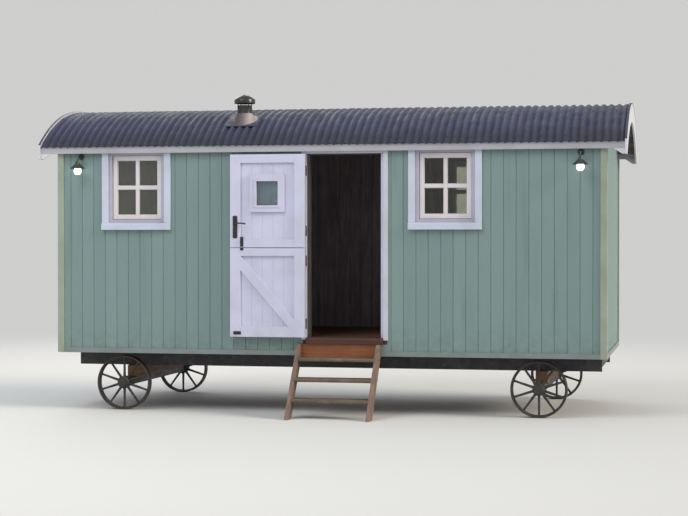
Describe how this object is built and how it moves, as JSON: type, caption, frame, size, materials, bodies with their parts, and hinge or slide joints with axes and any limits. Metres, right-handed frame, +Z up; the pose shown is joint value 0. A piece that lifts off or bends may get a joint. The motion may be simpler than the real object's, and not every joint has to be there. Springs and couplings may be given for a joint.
{
  "type": "shepherds hut",
  "caption": "Timber shepherd's hut with a curved corrugated roof on spoked iron wheels, with a stable door folded back, small windows, eaves lamps and a short flight of steps.",
  "frame": {"origin": "on level ground, under the middle of the whole object's box, steps included", "axes": "+X along the hut, to the right of someone facing the door; -Y is the door side; +Z is up"},
  "size_m": [5.89, 2.952, 3.1933],
  "materials": {
    "wall_paint": "sage green paint on grooved timber boards, matt",
    "trim_paint": "off-white paint on planed timber, eggshell",
    "floor_timber": "bare softwood",
    "step_timber": "reddish brown stain on sawn timber",
    "roof_metal": "dark slate grey coated steel sheet",
    "glass": "clear window glass",
    "black_iron": "black japanned ironwork",
    "lamp_metal": "very dark green enamel",
    "lamp_glass": "opal lamp glass",
    "chassis_steel": "black chassis paint",
    "wheel_iron": "dark cast iron",
    "flue_steel": "heatproof black paint",
    "flashing_metal": "dull grey flashing"
  },
  "bodies": {
    "hut": {"front_wall_left": "wall_paint", "front_wall_right": "wall_paint", "front_wall_header": "wall_paint", "front_wall_sill": "wall_paint", "back_wall": "wall_paint", "end_wall_left": "wall_paint", "end_wall_right": "wall_paint", "floor_deck": "floor_timber", "floor_joists": "floor_timber", "roof_deck": "floor_timber", "roof_sheet": "roof_metal", "fascias": "trim_paint", "bargeboards": "trim_paint", "corner_trims": "trim_paint", "base_trims": "trim_paint", "window_frames": "trim_paint", "window_trims": "trim_paint", "window_sashes": "trim_paint", "window_glass": "glass", "door_frame": "trim_paint", "door_stops": "trim_paint", "door_architraves": "trim_paint", "threshold": "step_timber", "door_frame_hinges": "black_iron", "lamp_brackets": "lamp_metal", "lamp_shades": "lamp_metal", "lamp_bulbs": "lamp_glass", "step_stringers": "step_timber", "step_treads": "step_timber", "step_riser": "step_timber", "chassis_rails": "chassis_steel", "chassis_crossmembers": "chassis_steel", "axle_bolsters": "floor_timber", "axles": "chassis_steel", "flue_pipe": "flue_steel", "flue_flashing": "flashing_metal", "flue_cowl": "flue_steel"},
    "upper_leaf": {"door_upper_leaf": "trim_paint", "door_light_beads": "trim_paint", "door_light_glass": "glass", "door_upper_hinges": "black_iron", "door_handles": "black_iron", "door_upper_bolt": "black_iron"},
    "lower_leaf": {"door_lower_leaf": "trim_paint", "door_lower_hinges": "black_iron", "door_lower_bolts": "black_iron"},
    "wheel_front_left": {"wheel_front_left": "wheel_iron"},
    "wheel_front_right": {"wheel_front_right": "wheel_iron"},
    "wheel_back_left": {"wheel_back_left": "wheel_iron"},
    "wheel_back_right": {"wheel_back_right": "wheel_iron"}
  },
  "joints": [
    {"name": "door_upper_hinge", "type": "hinge", "parent": "hut", "child": "upper_leaf", "pos_m": [-0.171, -0.909, 2.1], "axis": [0, 0, 1], "range_deg": [0, 180]},
    {"name": "door_lower_hinge", "type": "hinge", "parent": "hut", "child": "lower_leaf", "pos_m": [-0.171, -0.909, 1.2], "axis": [0, 0, 1], "range_deg": [0, 180]},
    {"name": "wheel_front_left_spin", "type": "hinge", "parent": "hut", "child": "wheel_front_left", "pos_m": [-2.1, -0.743, 0.275], "axis": [0, 1, 0], "continuous": true},
    {"name": "wheel_front_right_spin", "type": "hinge", "parent": "hut", "child": "wheel_front_right", "pos_m": [2.1, -0.743, 0.275], "axis": [0, 1, 0], "continuous": true},
    {"name": "wheel_back_left_spin", "type": "hinge", "parent": "hut", "child": "wheel_back_left", "pos_m": [-2.1, 1.277, 0.275], "axis": [0, 1, 0], "continuous": true},
    {"name": "wheel_back_right_spin", "type": "hinge", "parent": "hut", "child": "wheel_back_right", "pos_m": [2.1, 1.277, 0.275], "axis": [0, 1, 0], "continuous": true}
  ]
}
